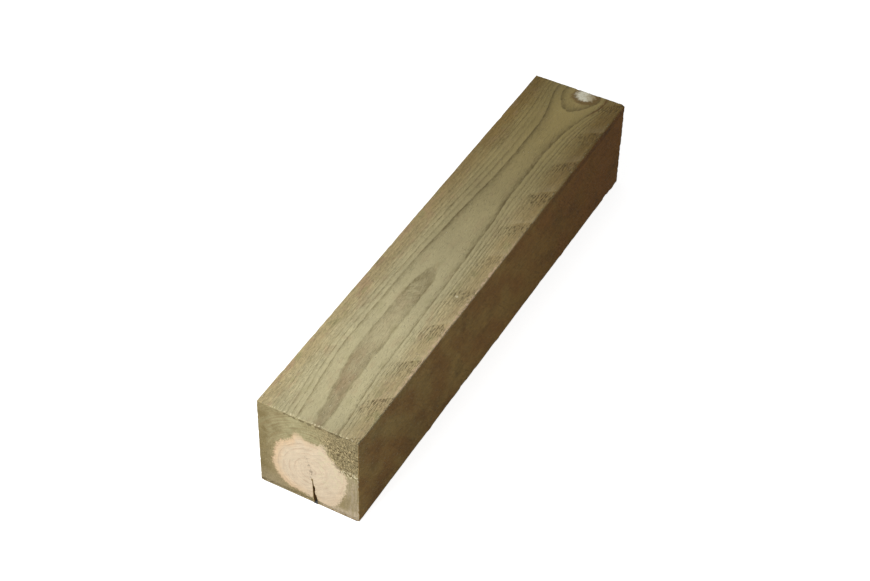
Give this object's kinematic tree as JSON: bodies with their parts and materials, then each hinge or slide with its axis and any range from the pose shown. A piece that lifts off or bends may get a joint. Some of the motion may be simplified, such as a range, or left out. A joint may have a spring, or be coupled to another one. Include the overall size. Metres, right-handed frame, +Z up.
{
  "type": "treated wooden post",
  "caption": "Square post of sawn, pressure-treated softwood, lying on its side, with its heart boxed in and a drying check at one end.",
  "frame": {"origin": "middle of the underside of the lying post", "axes": "+Y along the post from its checked near end to its far end, +Z up through the face it shows, +X to the right as seen from the near end"},
  "size_m": [0.1, 0.528, 0.1],
  "materials": {
    "treated_timber": "matte"
  },
  "bodies": {
    "root": {"post": "treated_timber"}
  },
  "joints": []
}
